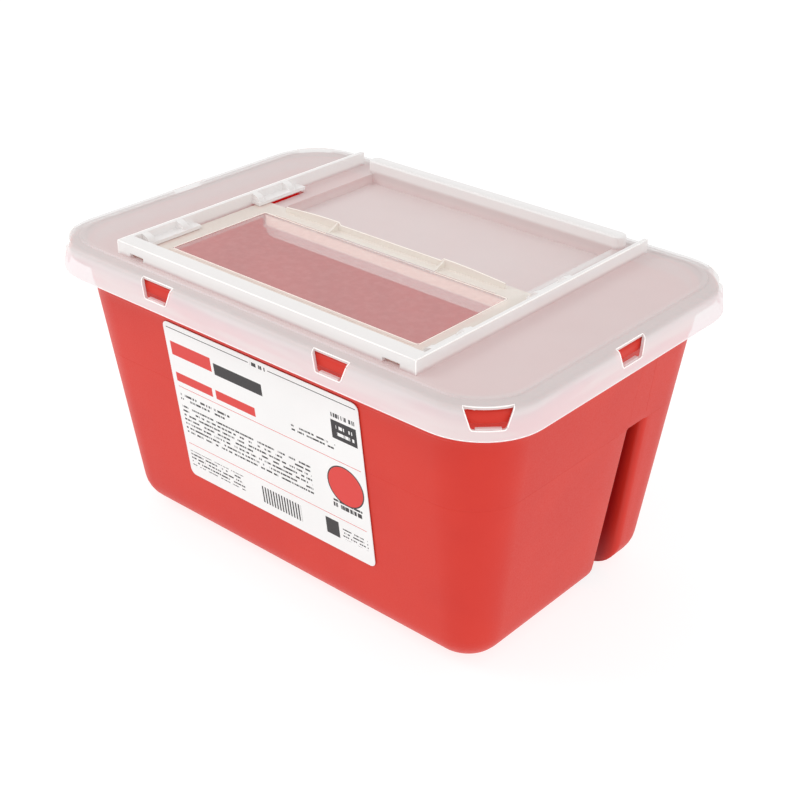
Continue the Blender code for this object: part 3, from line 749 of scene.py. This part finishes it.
def lid_highlight_beads():
    """Painted highlight beads along the outlines of the ten skirt windows, and the foot of the skirt.

    An outline lies on the skirt's outside, whose distance from the corner centres is the corner radius
    less the skirt's inset at each height. Round a corner it is bent along that radius.
    """
    across, height = window_path().T
    corner = SKIRT_HALF - SKIRT_RADIUS
    places = [((x, side * corner[1]), side * 90.0, False) for x in FRONT_WINDOWS_X for side in (1, -1)]
    places += [((side * corner[0], END_WINDOW_Y), 90.0 - side * 90.0, False) for side in (1, -1)]
    places += [((a * corner[0], b * corner[1]), math.degrees(math.atan2(b, a)), True)
               for a in (1, -1) for b in (1, -1)]
    tubes = []
    for centre, facing, rounded in places:
        out = SKIRT_RADIUS - skirt_inset(height)
        if rounded:
            out = np.sqrt(out ** 2 - across ** 2)
        ahead = np.array([math.cos(math.radians(facing)), math.sin(math.radians(facing))])
        beside = np.array([-ahead[1], ahead[0]])
        plan = np.array(centre) + out[:, None] * ahead + across[:, None] * beside
        tubes.append(tube(np.column_stack([plan, height]), LID_HIGHLIGHT_BEAD, True))
    foot_gap = 0.25
    foot = level_loop(corner, SKIRT_RADIUS - foot_gap, 0.0, SKIRT_FOOT_Z + foot_gap, 15)
    return tubes + [tube(foot, LID_HIGHLIGHT_BEAD, True)]


def frame_highlight_beads():
    """Painted highlight beads on the front bar's two upright corners, then on the top outer edges of the bar
    and the two rails.
    """
    upright = np.linspace(FRAME_FOOT_Z, FRAME_TOP_Z, 5)
    along_x = np.linspace(-FRAME_SIDE_X, FRAME_SIDE_X, 9)
    along_y = np.linspace(FRAME_FRONT_Y, FRAME_BACK_Y, 9)
    lines = [[(side * FRAME_SIDE_X, FRAME_FRONT_Y, z) for z in upright] for side in (1, -1)]
    lines.append([(x, FRAME_FRONT_Y, FRAME_TOP_Z) for x in along_x])
    lines += [[(side * FRAME_SIDE_X, y, FRAME_TOP_Z) for y in along_y] for side in (1, -1)]
    return [tube(line, LID_HIGHLIGHT_BEAD, False) for line in lines]


def cover_highlight_beads():
    """Painted highlight beads along the outline of the pane and the handle wall's top: a quarter sine up from
    each end, a lower middle.
    """
    corner = (PANE_HALF_X - PANE_ROUND, (PANE_BACK_Y - PANE_FRONT_Y) / 2 - PANE_ROUND)
    pane = level_loop(corner, PANE_ROUND, (PANE_FRONT_Y + PANE_BACK_Y) / 2, COVER_TOP_Z, 5)
    share = np.linspace(0.0, 1.0, 7)
    crown_x = HANDLE_END[0] - (HANDLE_END[0] - CROWN_INNER_X) * share
    crown_z = HANDLE_END[1] + CROWN_RISE * np.sin(np.radians(90 * share))
    crown = np.column_stack([crown_x, np.full(len(share), HANDLE_Y), crown_z])
    middle = [(side * HANDLE_MIDDLE[0], HANDLE_Y, HANDLE_MIDDLE[1]) for side in (1, -1)]
    handle = np.concatenate([crown, middle, crown[::-1] * (-1, 1, 1)])
    return [tube(pane, COVER_HIGHLIGHT_BEAD, True), tube(handle, COVER_HIGHLIGHT_BEAD, False)]


def make_camera():
    """Camera above the tub's front right corner, turned a little about its own axis."""
    roll = math.radians(0.82)
    data = bpy.data.cameras.new("camera")
    data.sensor_width = 36.0
    data.lens = 66.36
    camera = bpy.data.objects.new("camera", data)
    bpy.context.scene.collection.objects.link(camera)
    position = Vector((386.08, -440.61, 385.92)) * MM
    target = Vector((3.57, 6.53, 63.55)) * MM
    facing = (target - position).to_track_quat("-Z", "Y").to_matrix().to_4x4()
    camera.matrix_world = Matrix.Translation(position) @ facing @ Matrix.Rotation(roll, 4, "Z")
    bpy.context.scene.camera = camera


def soft_light(name, place, size, power):
    """Square area light that faces the middle of the tub."""
    data = bpy.data.lights.new(name, "AREA")
    data.shape = "SQUARE"
    data.size = size
    data.energy = power
    light = bpy.data.objects.new(name, data)
    bpy.context.scene.collection.objects.link(light)
    light.location = place
    middle = Vector((0.0, 0.0, 0.07))
    light.rotation_euler = (middle - Vector(place)).to_track_quat("-Z", "Y").to_euler()


def make_studio():
    """White surroundings, two soft lights, and a pale floor whose own light softens the shadows."""
    world = bpy.data.worlds.new("studio")
    bpy.context.scene.world = world
    world.use_nodes = True
    background = world.node_tree.nodes["Background"]
    background.inputs["Color"].default_value = (1.0, 1.0, 1.0, 1.0)
    background.inputs["Strength"].default_value = 0.80
    soft_light("key", (-0.74, -0.62, 0.87), 0.5, 3.0)
    soft_light("right", (1.2, -0.2, 0.7), 0.9, 1.8)
    half = 40.0
    corners = [(-half, -half, 0.0), (half, -half, 0.0), (half, half, 0.0), (-half, half, 0.0)]
    mesh = bpy.data.meshes.new("floor")
    mesh.from_pydata(corners, [], [(0, 1, 2, 3)])
    floor = link_piece("floor", mesh)
    floor.location.z = -0.5 * MM
    material, _, shader = new_material("floor_pale", 0.8, 0.2)
    shader.inputs["Base Color"].default_value = (0.30, 0.30, 0.30, 1.0)
    shader.inputs["Emission Color"].default_value = (1.0, 1.0, 1.0, 1.0)
    shader.inputs["Emission Strength"].default_value = 0.80
    mesh.materials.append(material)


make_camera()
make_studio()
bpy.context.scene.view_settings.view_transform = "Standard"

make_tub()
moulded("lid", "lid_moulding", "lid", 0.3, lid_plastic())
# Painted highlights: thin white glowing beads along the edges of the lid.
highlight_bead_piece("lid_edges", lid_highlight_beads() + frame_highlight_beads(), painted_edge_highlight("lid_edge_highlight", EDGE_HIGHLIGHT_WHITE), "lid")
moulded("sliding_cover", "cover_moulding", "cover", 0.2, cover_plastic())
# Painted highlights: thin cream glowing beads along the edges of the cover.
highlight_bead_piece("cover_edges", cover_highlight_beads(), painted_edge_highlight("cover_edge_highlight", EDGE_HIGHLIGHT_CREAM), "cover")
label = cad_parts["front_label"]
label.data.materials.clear()
label.data.materials.append(label_print())

bpy.context.view_layer.update()
